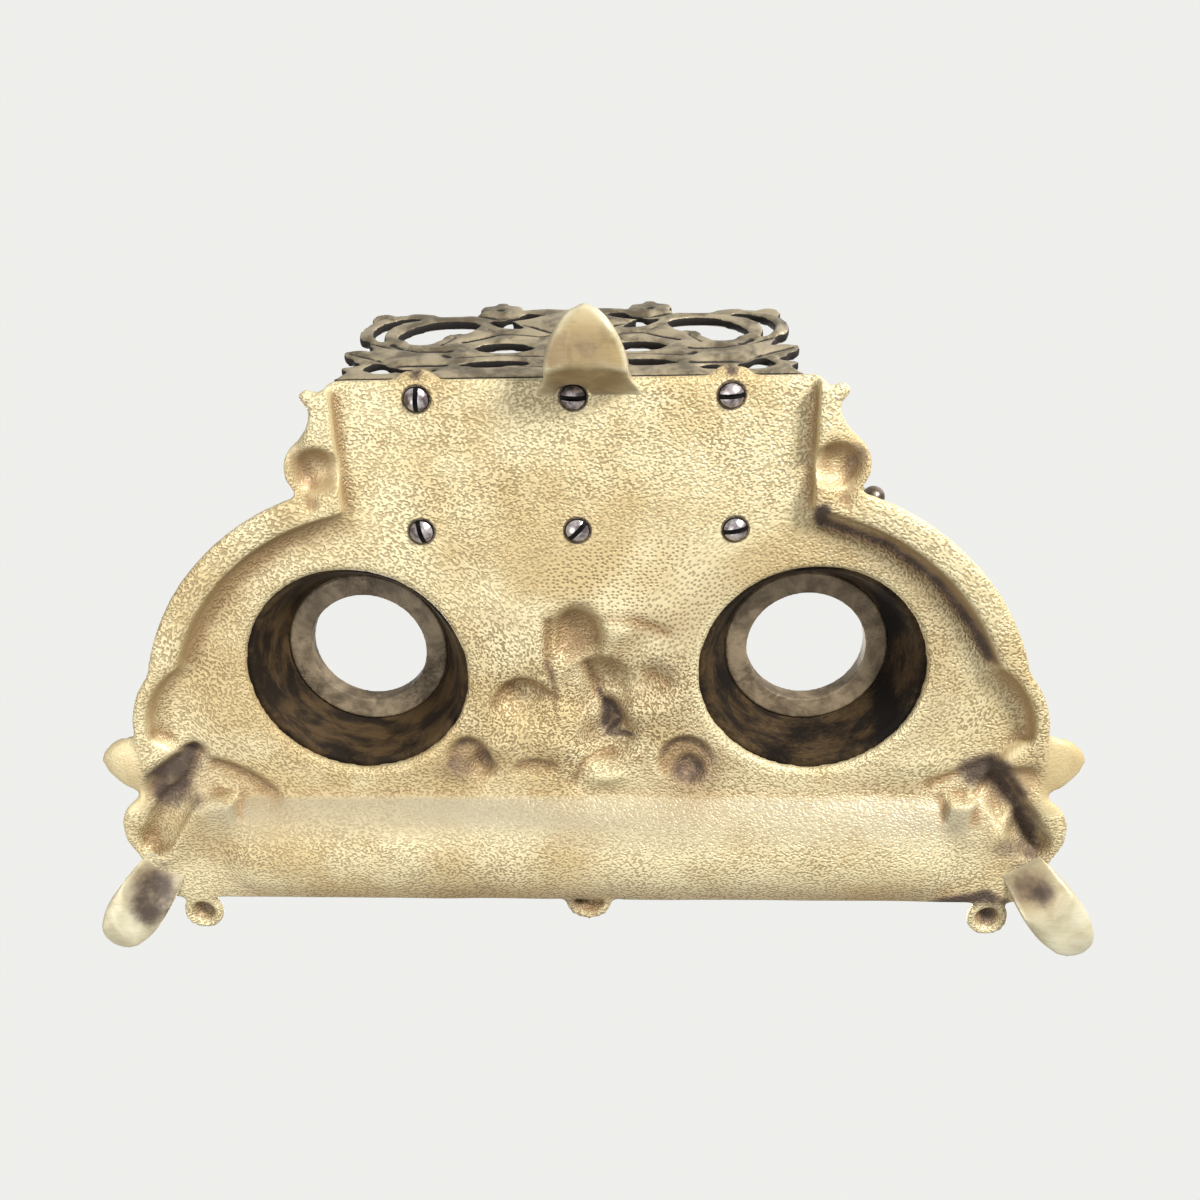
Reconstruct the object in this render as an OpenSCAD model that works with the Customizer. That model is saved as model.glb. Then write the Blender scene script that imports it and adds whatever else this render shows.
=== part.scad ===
// Desk inkstand in cast brass: a footed base with a pen tray, two inkwell
// pots with hinged lids, and a pierced letter rack held by screws from below.
// The lids are drawn open, as they stand when the inkstand is tipped over.
// Built about the line between the two wells; +Y is the rack side, z = 0 the table.

/* [Base casting] */
// Height of the deck's underside above the table
deck_h = 13; // [11:0.5:18]
// Thickness of the cast deck, rim and tray
wall = 3; // [2.4:0.1:3.6]
// How far the rim hangs below the underside of the deck
rim_drop = 6; // [4:0.5:7]
// Radius of the cove that joins the rim to the deck
cove_r = 5; // [3:0.5:5.5]
// From the well line to the straight rear edge
rear_reach = 85.7; // [80:0.5:92]
// From the well line to the front edge
front_reach = 76; // [74:0.5:80]
// Half the width of the straight rear deck
deck_half = 63; // [61:0.5:70]

/* [Shoulders and corners] */
// Sideways place of the centre of the shoulder arc
shoulder_x = 50; // [46:0.5:54]
// How far that centre lies in front of the well line
shoulder_back = 18; // [14:0.5:22]
// Outer radius of the shoulder arc
shoulder_r = 78; // [75:0.5:81]
// Width of the rim band along the shoulder
rim_w = 8; // [6:0.5:9.5]
// Sideways place of the centre of the flank arc
flank_x = 103; // [100:0.5:106]
// Outer radius of the flank arc
flank_r = 30; // [28:0.5:34]
// Width of the rim band along the flank
flank_rim = 4; // [3:0.5:6]
// Radius of the round lobe above each front foot
lobe_r = 13.5; // [12:0.5:15]

/* [Pen tray] */
// Outer radius of the trough's round bottom
trough_r = 31.6; // [28:0.2:34]
// How far the trough hangs below the underside of the deck
tray_drop = 8.5; // [7.5:0.1:9.5]
// From the middle of the trough to the front edge
tray_front = 13.6; // [12:0.2:15]
// Length of the straight part of the trough
tray_l = 200; // [180:1:204]
// Radius of the bead along the front lip
lip_r = 1.6; // [1.2:0.1:2.2]

/* [Beads, leaves and scrolls] */
// Radius of the two outer beads on the front edge
bead_r = 6.5; // [5.5:0.1:7.2]
// Radius of the middle bead
mid_bead_r = 7.6; // [6:0.1:9]
// Half the distance between the two outer beads
bead_x = 122.5; // [119:0.5:125]
// From the front edge to the centres of the outer beads
bead_out = 6; // [3:0.5:6.5]
// Length of each side leaf beyond its root
side_leaf_l = 13; // [10:0.5:15]
// Width of each side leaf
side_leaf_w = 19; // [16:0.5:22]
// Radius of the round belly of each rear scroll
scroll_r = 9.3; // [8:0.1:10.5]

/* [Feet] */
// Length of the rear foot beyond the rear edge
rear_foot_l = 20.5; // [18:0.5:24]
// Width of the rear foot
rear_foot_w = 21.5; // [18:0.5:26]
// Width of the rear foot's flared root
rear_root_w = 31; // [24:0.5:34]
// How far the rear foot stands left of the middle
rear_foot_shift = 4; // [0:0.5:6]
// Length of each front foot beyond its root
front_foot_l = 28.3; // [25:0.5:32]
// Width of each front foot
front_foot_w = 17; // [14:0.5:20]
// Width of each front foot's root
front_root_w = 13; // [10:0.5:16]
// Angle of the front feet in front of sideways
front_foot_turn = 54; // [45:1:60]

/* [Inkwells] */
// Distance between the two well centres
well_pitch = 131.8; // [128:0.2:136]
// Inner radius of the pot at the underside of the deck
pot_r = 32.1; // [30.5:0.1:33]
// Inner radius of the pot at its top
pot_top_r = 24; // [23:0.1:25]
// Height of the pot above the underside of the deck
pot_h = 17.8; // [15:0.1:22]
// Radius of the mouth that takes a liner cup
mouth_r = 17.6; // [16:0.1:19]
// Outer radius of the collar ring
collar_r = 25; // [24.6:0.1:25.6]
// Thickness of the collar ring
collar_t = 2.4; // [2:0.1:3]
// Depth of the collar's spigot inside the pot
spigot_d = 1.2; // [0.8:0.1:2]
// Height of the neck that the lid closes over
neck_h = 2.4; // [1.5:0.1:2.6]
// Wall of the neck
neck_w = 3.4; // [2.4:0.1:4]

/* [Lids and hinges] */
// Radius of a lid
lid_r = 24.5; // [24:0.1:24.8]
// Height of a lid's rim
lid_rim_h = 4; // [3.8:0.1:5]
// Height of the dome above the rim
dome_h = 3.5; // [3:0.1:5]
// Radius of the knob
knob_r = 3.5; // [3:0.1:4.5]
// Radius of the knob's stem
stem_r = 1.5; // [1.2:0.1:1.8]
// Angle of a lid from closed to its stop
lid_open = 100; // [96:1:108]
// Angle of the hinge outward from straight back
hinge_turn = 32; // [26:1:36]
// Radius of the hinge knuckles
knuckle_r = 2.4; // [2.1:0.1:2.6]
// Radius of the hinge pin
pin_r = 1.1; // [0.9:0.05:1.3]
// Width of the lid's knuckle
knuckle_w = 5.8; // [5:0.2:8]
// Width of each fixed ear
ear_w = 3; // [2.4:0.1:4]

/* [Letter rack] */
// Width of both panels
panel_w = 124; // [112:0.5:127]
// How far the rear panel stands right of the middle
rear_panel_shift = 2; // [0:0.5:3]
// Thickness of both panels
panel_t = 3.2; // [2.6:0.1:3.6]
// Height of the rear panel
rear_panel_h = 50; // [44:0.5:55]
// Height of the front panel
front_panel_h = 36; // [32:0.5:42]
// Lean of the rear panel
rear_lean = 11; // [4:0.5:13]
// Lean of the front panel
front_lean = 3; // [0:0.5:4]
// From the rear screw row to the front one
rack_pitch = 36.8; // [34:0.2:40]
// Height of the rail along each panel's foot
rail_h = 3; // [2.4:0.1:4]

/* [Panel screws] */
// Radius of the screw bosses under each panel
boss_r = 4.7; // [4:0.1:5.2]
// Height of the screw bosses
boss_h = 7; // [6:0.5:9]
// Radius of the screw shanks
screw_r = 2; // [1.5:0.1:2.2]
// Length of the shank above the deck
screw_bite = 5; // [4:0.5:5.5]
// Radius of the domed screw heads
head_r = 3.5; // [3:0.1:3.8]
// Height of the domed screw heads
head_h = 2; // [1.5:0.1:2.4]
// From the rear edge to the rear screw row
screw_in = 5; // [4.6:0.1:6]
// Radius of the round pads that the panels stand on
pad_r = 7.4; // [6.5:0.1:8.5]
// Height of the pads above the deck
pad_h = 2; // [1:0.1:3]
// Sideways pitch of the rear screws
rear_screw_pitch = 41; // [36:0.5:44]
// Sideways pitch of the front screws
front_screw_pitch = 42.8; // [38:0.2:45]

/* [Hidden] */
$fn = 96;

left = -1;
right = 1;
// Overlap that makes cuts clean, seat gap of fixed pieces, gap beside moving ones
eps = 0.5;
seat_gap = 0.1;
pin_gap = 0.05;
move_gap = 0.3;
// Room round a screw shank in the deck, and round a head under the rear foot
screw_gap = 0.2;
head_gap = 0.6;

// Longer than the base is wide, for cuts that run right across it
span = 2 * (flank_x + flank_r + side_leaf_l);

rim_z = deck_h - rim_drop;
rim_top = rim_z + wall;
deck_top = deck_h + wall;
deck_r = shoulder_r - rim_w;
inner_flank_r = flank_r - flank_rim;
// Metal left above the cast ornament
skin_t = wall * 0.8;

// Trough: an arc hung below the deck, with round ends
trough_y = tray_front - front_reach;
trough_z = deck_h - tray_drop + trough_r;
tray_rear = trough_y + sqrt(pow(trough_r, 2) - pow(trough_r - tray_drop, 2));
corner_x = tray_l / 2 + 7;
// Chamfer at the lower edge of each well's bore
well_chamfer = 1.5;
lobe_x = bead_x + 6.5;
lobe_y = 25 - front_reach;
// Side leaves: how far in front of the flank's middle, their turn, and the ball they curl round
leaf_back = 10.5;
leaf_turn = 8;
leaf_curl = 34;

// Depth of the V notch in each rear pad
notch_d = 2.6;
rear_row = rear_reach - screw_in;
front_row = rear_row - rack_pitch;
// Pattern of half a panel, drawn on a grid of this many columns and rows
rack_grid = [62, 50];
// Its outline from the middle of the foot rail, and the leaves and discs on it
rack_edge = [[0, 0], [60.5, 0], [58.5, 8], [52, 12], [57, 24], [52, 43.5], [26, 43.5], [13, 48], [0, 47.5]];
rack_leaves = [[48, 10, 63, 18, 8], [46, 4, 61.8, 7, 5]];
rack_discs = [[47.5, 32.5, 13.8], [56, 42.6, 3.8], [8.5, 38.6, 10]];
// Piercings between two points, with their widths, then round ones
rack_slots = [[8, 43.6, 26, 40, 4.4], [25, 40.6, 14, 33, 5], [27, 37.2, 49.6, 27.5, 13.5],
    [9.5, 19, 27, 19.6, 7], [9, 9, 31, 8, 3.8], [33.5, 4.9, 47, 4.6, 2.6], [44.5, 5.2, 55.5, 6.6, 5]];
rack_holes = [[42, 27, 4.6], [51.6, 7.6, 2.6], [59.6, 23.4, 2.8], [61, 12, 2]];
// The crescent cut inside the corner loop: a disc less a second disc
rack_crescent = [[47.5, 32.5, 9.6], [43.5, 30.5, 10.4]];
// The berry that hangs in the oval window, and the flower on the top edge with its stud
berry = [33, 27, 3.6];
flower_at = [22, 46.5];
flower_r = 4.6;
petal_r = 2.7;
stud_r = 2.6;
stud_out = 0.8;

// Rear scrolls: the belly's centre, then discs added and cut away round it, with the hollow's size
scroll_x = deck_half + 5;
scroll_y = rear_reach - 22.7;
scroll_adds = [[0, 0, scroll_r], [-1.5, 10, 5.4], [0.4, 19.5, 2.3]];
scroll_cuts = [[7.2, 14.7, 6.2], [-2.4, 22.7, 1.5]];
scroll_hollow = [0, 0, scroll_r - 2.5, 5];

// Feet: roots, contact flats and the middle of the whole inkstand
foot_flat = 0.4;
foot_steps = 18;
front_root_x = bead_x + 12.5;
front_root_y = 7 - front_reach;
// Behind the root and out to its widest place: [rear foot], [front feet]
rear_foot = [5, 3, rear_foot_l, rear_foot_w, rear_root_w];
front_foot = [9, 11, front_foot_l, front_foot_w, front_root_w];
front_foot_y = front_root_y - max([for (s = foot_marks(front_foot))
    s * sin(front_foot_turn) + foot_half(s, front_foot) * cos(front_foot_turn)]);
rear_foot_y = rear_reach + rear_foot_l;
mid_y = (rear_foot_y + front_foot_y) / 2;

// Wells: the seat is the top of the collar, where a closed lid lands
seat_z = deck_h + pot_h + collar_t;
pot_slope = (pot_r - pot_top_r) / pot_h;
lid_bore = mouth_r + neck_w + 1.3;
hinge_r = collar_r + knuckle_r + 0.9;
hinge_z = seat_z + 1.4;
heel_l = knuckle_r + 1.3;
heel_t = 2.4;
ear_x = knuckle_w / 2 + move_gap;
lug_x = ear_x + ear_w;
lug_drop = 6;
knob_z = lid_rim_h + dome_h + knob_r + 0.2;

// Slots of the screws, in degrees, from the left screw to the right one
rear_slots = [86, 92, 4];
front_slots = [78, 45, -14];
slot_w = 1;
slot_d = 0.9;

// Cast ornament between the wells: [x, y, plan radius, height], hollow underneath
bosses = [[2, 11, 9, 5], [-4, -6, 12, 7], [-7, -21, 9.5, 6], [18, -9, 8.5, 4],
    [-20, -4, 8, 3], [31, -32, 5, 3], [-31, -33, 5.5, 3.5]];
// The groove cast in each corner, from the end of the tray out to the lobe
groove_r = 5.5;
groove_in = [lobe_x - 12, lobe_y + 21];
groove_out = [lobe_x + 4, lobe_y - 4];

module place() {
    translate([0, -mid_y, 0]) children();
}

module both() {
    children();
    mirror([1, 0, 0]) children();
}

module at_well(side) {
    place()
        translate([side * well_pitch / 2, 0, 0])
            rotate([0, 0, -side * hinge_turn]) children();
}

// A vesica leaf from the origin along +Y
module leaf(len, w) {
    r = (len * len + w * w) / (4 * w);
    intersection() {
        translate([r - w / 2, len / 2]) circle(r);
        translate([w / 2 - r, len / 2]) circle(r);
    }
}

// A disc with a quarter-round upper edge
module pan(r, z0, z1, f) {
    translate([0, 0, z0])
        rotate_extrude() {
            square([r - f, z1 - z0]);
            square([r, z1 - z0 - f]);
            translate([r - f, z1 - z0 - f]) intersection() {
                circle(f);
                square(f);
            }
        }
}

// Radius of the ball whose cap has plan radius a and height h
function cap_r(a, h) = (a * a + h * h) / (2 * h);

// A boss is [x, y, plan radius, height]: the ball whose cap stands on the level z
module dome(b, z, grow) {
    r = cap_r(b[2], b[3]);
    translate([b[0], b[1], z + b[3] - r]) sphere(r + grow);
}

// ---- base casting ----

module scroll_outline() {
    difference() {
        union() {
            for (d = scroll_adds) translate([scroll_x + d[0], scroll_y + d[1]]) circle(d[2]);
            translate([deck_half - 3, scroll_y - 10])
                square([8, rear_reach - scroll_y + 8]);
        }
        for (d = scroll_cuts) translate([scroll_x + d[0], scroll_y + d[1]]) circle(d[2]);
    }
}

module rim_outline() {
    difference() {
        both() {
            translate([0, -front_reach]) square([deck_half + 1, front_reach + rear_reach]);
            translate([shoulder_x, -shoulder_back]) circle(shoulder_r);
            translate([flank_x, -shoulder_back]) circle(flank_r);
            translate([lobe_x, lobe_y]) circle(lobe_r);
            polygon([[0, -front_reach], [bead_x + 8, -front_reach],
                [front_root_x + 2, front_root_y + 3], [lobe_x + lobe_r * 0.9, lobe_y - 4],
                [lobe_x, lobe_y + 20], [0, 0]]);
            scroll_outline();
        }
        translate([-span / 2, -front_reach - span]) square(span);
    }
}

// The raised deck: grow = 0 is the hollow underneath, grow = wall its upper skin
module deck_form(z0, grow) {
    top = deck_h + grow;
    f = cove_r + grow;
    intersection() {
        union() {
            both() {
                translate([shoulder_x, -shoulder_back, 0]) pan(deck_r + grow, z0, top, f);
                translate([flank_x, -shoulder_back, 0]) pan(inner_flank_r + grow, z0, top, f);
            }
            translate([-deck_half - grow, tray_rear - eps, z0])
                cube([2 * (deck_half + grow), rear_reach - tray_rear + 2 * eps, top - z0]);
        }
        translate([-span / 2, tray_rear - grow, z0 - eps]) cube(span);
    }
}

module trough(r) {
    translate([-tray_l / 2, trough_y, trough_z]) rotate([0, 90, 0]) cylinder(h = tray_l, r = r);
    both() translate([tray_l / 2, trough_y, trough_z]) sphere(r);
}

// Everything hollowed out from below, beside the trough
module underside() {
    difference() {
        union() {
            deck_form(-eps, 0);
            translate([-corner_x, trough_y, -eps])
                cube([2 * corner_x, tray_rear - trough_y, deck_h + eps]);
        }
        trough(trough_r);
    }
    for (b = bosses) dome(b, deck_h, 0);
    both() {
        corner_groove(groove_r);
        translate([scroll_x, scroll_y, 0]) dome(scroll_hollow, rim_z, 0);
    }
}

// Round pads around the screws; those at the rear overhang the edge, with a V notch
module panel_pads() {
    for (i = [-1:1]) {
        translate([i * front_screw_pitch, front_row, deck_top - eps])
            cylinder(h = pad_h + eps, r = pad_r);
        translate([i * rear_screw_pitch, rear_row, deck_top - eps]) difference() {
            cylinder(h = pad_h + eps, r = pad_r);
            translate([0, 0, -1]) linear_extrude(pad_h + 3)
                polygon([[0, pad_r - notch_d], [notch_d / 2, pad_r + 1], [-notch_d / 2, pad_r + 1]]);
        }
    }
}

module base_top() {
    panel_pads();
    linear_extrude_at(rim_z, wall) rim_outline();
    intersection() {
        deck_form(rim_z, wall);
        linear_extrude_at(rim_z, span) rim_outline();
    }
    intersection() {
        trough(trough_r);
        union() {
            translate([-span / 2, trough_y, 0]) cube([span, trough_r, deck_top]);
            translate([-span / 2, -front_reach, 0]) cube([span, tray_front + eps, rim_top]);
        }
    }
    translate([-bead_x, lip_r - front_reach, rim_top]) rotate([0, 90, 0])
        cylinder(h = 2 * bead_x, r = lip_r);
    for (b = bosses) boss_skin(b, deck_h);
    both() {
        intersection() {
            corner_groove(groove_r + skin_t);
            linear_extrude_at(rim_z + 1, deck_h) rim_outline();
        }
        translate([scroll_x, scroll_y, 0]) boss_skin(scroll_hollow, rim_z);
    }
}

module corner_groove(r) {
    run = groove_out - groove_in;
    translate([groove_in[0], groove_in[1], rim_z])
        rotate([0, 0, atan2(run[1], run[0])]) {
            rotate([0, 90, 0]) cylinder(h = norm(run), r = r);
            sphere(r);
            translate([norm(run), 0, 0]) sphere(r);
        }
}

// The metal over a boss, from 1 mm above the level z
module boss_skin(b, z) {
    intersection() {
        dome(b, z, skin_t);
        translate([b[0] - 2 * b[2], b[1] - 2 * b[2], z + 1]) cube(4 * b[2]);
    }
}

module linear_extrude_at(z, h) {
    translate([0, 0, z]) linear_extrude(h) children();
}

// A half ball on the rim, hollow underneath, with a neck back to the edge
module bead(r, neck) {
    difference() {
        union() {
            intersection() {
                translate([0, 0, rim_z]) sphere(r);
                translate([-r, -r, rim_z]) cube(2 * r);
            }
            translate([-r * 0.7, 0, rim_z]) cube([r * 1.4, neck, wall]);
        }
        translate([0, 0, rim_z]) sphere(r - skin_t);
    }
}

module side_leaf() {
    translate([flank_x + flank_r - eps, -shoulder_back - leaf_back, 0])
        rotate([0, 0, leaf_turn - 90])
            difference() {
                intersection() {
                    translate([0, -side_leaf_l, 0])
                        linear_extrude(deck_h) leaf(2 * side_leaf_l, side_leaf_w);
                    translate([0, 0, rim_z + leaf_curl]) sphere(leaf_curl);
                }
                translate([0, 0, rim_z + leaf_curl]) sphere(leaf_curl - wall);
            }
}

module screw_places() {
    for (i = [-1:1]) {
        translate([i * rear_screw_pitch, rear_row, 0]) rotate([0, 0, rear_slots[i + 1]]) children();
        translate([i * front_screw_pitch, front_row, 0]) rotate([0, 0, front_slots[i + 1]]) children();
    }
}

module base_casting() {
    color("khaki") place() difference() {
        union() {
            difference() {
                base_top();
                underside();
                trough(trough_r - wall);
            }
            both() {
                translate([bead_x, -front_reach - bead_out, 0]) bead(bead_r, bead_out + 1);
                side_leaf();
            }
            translate([0, 0.2 - front_reach, 0]) bead(mid_bead_r, 1);
        }
        both() translate([well_pitch / 2, 0, 0]) {
            cylinder(h = 2 * deck_h, r = pot_r);
            translate([0, 0, deck_h - eps])
                cylinder(h = well_chamfer, r1 = pot_r + well_chamfer, r2 = pot_r);
        }
        screw_places() cylinder(h = 4 * deck_h, r = screw_r + screw_gap);
    }
}

// ---- feet ----

// Half a cosine wave from the level z0 at s0 down to z1 at s1
function ease(s, s0, s1, z0, z1) =
    s <= s0 ? z0 : s >= s1 ? z1 : z1 + (z0 - z1) * (1 + cos(180 * (s - s0) / (s1 - s0))) / 2;

// A foot is [length behind the root, widest place, reach, width, root width]
function foot_marks(foot) =
    [for (i = [0:foot_steps]) -foot[0] + (foot[0] + foot[2]) * i / foot_steps];

// Half the width of a foot: from the root to full width, then a round tip
function foot_half(s, foot) =
    s <= foot[1] ? foot[4] / 2 + (foot[3] - foot[4]) / 2 * sin(90 * (s + foot[0]) / (foot[1] + foot[0]))
    : foot[3] / 2 * pow(1 - pow((s - foot[1]) / (foot[2] - foot[1]), 1.8), 0.58);

// Leaf foot along +Y: its root lies under the level root_z, its tip curls up
module leaf_foot(root_z, foot) {
    reach = foot[2];
    w = foot[3];
    sole0 = reach * 0.32;
    sole1 = reach * 0.62;
    tip_lift = 3.4;
    tip_t = 2.6;
    sole_t = 4.2;
    belly = 24;
    at = foot_marks(foot);
    up = [for (s = at) tip_lift * pow(max(0, s - sole1) / (reach - sole1), 2)];
    low = [for (i = [0:foot_steps]) [at[i], ease(at[i], -foot[0], sole0, root_z, 0) + up[i]]];
    high = [for (i = [foot_steps:-1:0]) [at[i], ease(at[i], 0, sole1, root_z, sole_t)
        + up[i] * (1 - (sole_t - tip_t) / tip_lift)]];
    intersection() {
        rotate([90, 0, 90]) translate([0, 0, -w]) linear_extrude(2 * w) polygon(concat(low, high));
        linear_extrude(root_z) polygon(concat([for (s = at) [foot_half(s, foot), s]],
            [for (i = [foot_steps - 1:-1:0]) [-foot_half(at[i], foot), at[i]]]));
        translate([0, -2 * reach, belly - foot_flat]) rotate([-90, 0, 0])
            cylinder(h = 4 * reach, r = belly);
    }
}

module foot_rear() {
    color("navajowhite") place() difference() {
        translate([-rear_foot_shift, rear_reach, 0]) leaf_foot(deck_h, rear_foot);
        translate([0, rear_row, 0]) cylinder(h = deck_h + 1, r = head_r + head_gap);
    }
}

module foot_front(side) {
    color("cornsilk") place()
        translate([side * front_root_x, front_root_y, 0])
            rotate([0, 0, side * (-90 - front_foot_turn)]) leaf_foot(rim_z, front_foot);
}

// ---- inkwells ----

module well_pot(side) {
    foot_w = 3;
    foot_h = 2;
    bead_z = pot_h * 0.45;
    low_r = pot_r - wall * pot_slope;
    color("rosybrown") at_well(side) translate([0, 0, deck_h]) rotate_extrude() {
        polygon([[low_r, wall], [low_r + wall, wall], [pot_top_r + wall, pot_h], [pot_top_r, pot_h]]);
        translate([low_r + 1, wall]) square([wall + foot_w - 1, foot_h]);
        translate([pot_r + wall - pot_slope * bead_z, bead_z]) circle(1.3);
    }
}

module well_collar(side) {
    color("tan") at_well(side) translate([0, 0, seat_z]) rotate_extrude() {
        translate([mouth_r, -collar_t - spigot_d])
            square([pot_top_r - seat_gap - mouth_r, collar_t + spigot_d]);
        translate([mouth_r, -collar_t]) square([collar_r - mouth_r, collar_t]);
        translate([mouth_r, 0]) square([neck_w, neck_h]);
    }
}

module hinge_lug(side) {
    lip = seat_z - collar_t;
    stop_y = hinge_r - 2.2;
    floor_z = hinge_z - heel_l - 0.5;
    color("tan") at_well(side) difference() {
        union() {
            both() translate([ear_x, hinge_r, hinge_z]) rotate([0, 90, 0])
                cylinder(h = ear_w, r = knuckle_r);
            both() translate([ear_x, hinge_r - knuckle_r, lip - lug_drop])
                cube([ear_w, 2 * knuckle_r, hinge_z - lip + lug_drop]);
            translate([-lug_x, hinge_r - knuckle_r, lip - lug_drop])
                cube([2 * lug_x, 2 * knuckle_r, floor_z - lip + lug_drop]);
            translate([-ear_x - 1, collar_r - 1, lip - lug_drop])
                cube([2 * ear_x + 2, stop_y - collar_r + 1, seat_z - 0.2 - lip + lug_drop]);
        }
        translate([0, 0, lip]) cylinder(h = 10, r = collar_r + seat_gap);
        translate([0, 0, deck_h])
            cylinder(h = pot_h, r1 = pot_r + wall + seat_gap, r2 = pot_top_r + wall + seat_gap);
        translate([-20, hinge_r, hinge_z]) rotate([0, 90, 0]) cylinder(h = 40, r = pin_r + 0.02);
    }
}

module hinge_pin(side) {
    color("slategray") at_well(side) translate([0, hinge_r, hinge_z]) rotate([0, 90, 0])
        translate([0, 0, -lug_x - 0.4]) cylinder(h = 2 * lug_x + 0.8, r = pin_r);
}

// Pose of what moves with a lid, drawn closed with z = 0 at the seat
module lid_pose(side) {
    at_well(side)
        translate([0, hinge_r, hinge_z])
            rotate([-lid_open, 0, 0])
                translate([0, -hinge_r, seat_z - hinge_z]) children();
}

module lid(side) {
    inner_dome = lid_r - 4;
    r = cap_r(inner_dome, dome_h);
    color("darkkhaki") lid_pose(side) difference() {
        union() {
            rotate_extrude() {
                translate([0, move_gap]) square([lid_r, lid_rim_h - 1 - move_gap]);
                translate([0, lid_rim_h - 2]) square([lid_r - 1, 2]);
                intersection() {
                    translate([0, lid_rim_h + dome_h - r]) circle(r, $fn = 240);
                    translate([0, 1]) square([lid_r - 2, lid_rim_h + dome_h]);
                }
            }
            translate([-knuckle_w / 2, lid_r - 2, move_gap + 0.2])
                cube([knuckle_w, hinge_r - lid_r + 2, 2.4]);
            translate([-knuckle_w / 2, hinge_r, hinge_z - seat_z]) rotate([0, 90, 0])
                cylinder(h = knuckle_w, r = knuckle_r);
            translate([-knuckle_w / 2, hinge_r, hinge_z - seat_z - heel_t / 2])
                cube([knuckle_w, heel_l, heel_t]);
        }
        translate([0, 0, -1]) cylinder(h = neck_h + 1.6, r = lid_bore);
        cylinder(h = 20, r = stem_r + pin_gap);
        translate([-20, hinge_r, hinge_z - seat_z]) rotate([0, 90, 0])
            cylinder(h = 40, r = pin_r + pin_gap);
    }
}

module lid_knob(side) {
    top = lid_rim_h + dome_h;
    color("goldenrod") lid_pose(side) {
        translate([0, 0, knob_z]) sphere(knob_r);
        translate([0, 0, neck_h + 0.8]) cylinder(h = knob_z - neck_h - 0.8, r = stem_r);
        translate([0, 0, top]) cylinder(h = 1, r = knob_r - 0.6);
    }
}

// ---- letter rack ----

module flower(size) {
    circle(flower_r * size);
    for (a = [30:60:330])
        rotate(a) translate([(flower_r - 0.2) * size, 0]) circle(petal_r * size);
}

module leaf_between(from, to, w) {
    run = to - from;
    translate(from) rotate(atan2(run[1], run[0]) - 90) leaf(norm(run), w);
}

// A disc of the pattern: [column, row, radius in rows]
module disc_at(d, across, up) {
    translate([d[0] * across, d[1] * up]) circle(d[2] * up);
}

// Half of the pierced pattern, from the middle line outward
module rack_half(h) {
    across = panel_w / 2 / rack_grid[0];
    up = h / rack_grid[1];
    square([panel_w / 2 - 1.5, rail_h]);
    difference() {
        union() {
            polygon([for (p = rack_edge) [p[0] * across, p[1] * up]]);
            for (l = rack_leaves)
                leaf_between([l[0] * across, l[1] * up], [l[2] * across, l[3] * up], l[4] * up);
            for (d = rack_discs) disc_at(d, across, up);
        }
        for (l = rack_slots)
            leaf_between([l[0] * across, l[1] * up], [l[2] * across, l[3] * up], l[4] * up);
        for (d = rack_holes) disc_at(d, across, up);
        difference() {
            disc_at(rack_crescent[0], across, up);
            disc_at(rack_crescent[1], across, up);
        }
    }
    disc_at(berry, across, up);
    translate([flower_at[0] * across, flower_at[1] * up]) flower(up);
}

module rack_pattern(h) {
    both() rack_half(h);
}

// A panel that stands on its pads and leans toward +Y, with its screw bosses
module rack_panel(h, lean, pitch, shift, back_face) {
    foot_z = deck_top + pad_h;
    root = 2;
    difference() {
        union() {
            intersection() {
                translate([shift, back_face, foot_z]) rotate([90 - lean, 0, 0])
                    linear_extrude(panel_t) {
                        rack_pattern(h);
                        translate([-panel_w / 2, -root]) square([panel_w, root + 1]);
                    }
                translate([-span / 2, -span / 2, foot_z]) cube(span);
            }
            for (i = [-1:1]) translate([i * pitch, 0, foot_z]) cylinder(h = boss_h, r = boss_r);
            for (side = [left, right])
                translate([shift, back_face, foot_z]) rotate([90 - lean, 0, 0])
                    translate([side * flower_at[0] * panel_w / 2 / rack_grid[0],
                        flower_at[1] * h / rack_grid[1], -stud_out])
                        cylinder(h = panel_t + 2 * stud_out, r = stud_r);
        }
        for (i = [-1:1]) translate([i * pitch, 0, foot_z - 1])
            cylinder(h = screw_bite + 1.5, r = screw_r + pin_gap);
    }
}

module rack_rear_panel() {
    color("dimgray") place() translate([0, rear_row, 0])
        rack_panel(rear_panel_h, rear_lean, rear_screw_pitch, rear_panel_shift, screw_in - 0.2);
}

module rack_front_panel() {
    color("dimgray") place() translate([0, front_row, 0]) mirror([0, 1, 0])
        rack_panel(front_panel_h, front_lean, front_screw_pitch, 0, boss_r - 0.7);
}

// A slotted screw with a domed head under the deck
module panel_screw() {
    r = cap_r(head_r, head_h);
    difference() {
        intersection() {
            translate([0, 0, deck_h - head_h + r]) sphere(r);
            translate([0, 0, deck_h - head_h]) cylinder(h = head_h, r = head_r);
        }
        translate([-slot_w / 2, -2 * head_r, deck_h - head_h - 1])
            cube([slot_w, 4 * head_r, slot_d + 1]);
    }
    translate([0, 0, deck_h - eps]) cylinder(h = wall + pad_h + screw_bite + eps, r = screw_r);
}

module rear_panel_screws() {
    color("gray") place() for (i = [-1:1])
        translate([i * rear_screw_pitch, rear_row, 0]) rotate([0, 0, rear_slots[i + 1]]) panel_screw();
}

module front_panel_screws() {
    color("gray") place() for (i = [-1:1])
        translate([i * front_screw_pitch, front_row, 0]) rotate([0, 0, front_slots[i + 1]]) panel_screw();
}

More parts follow.
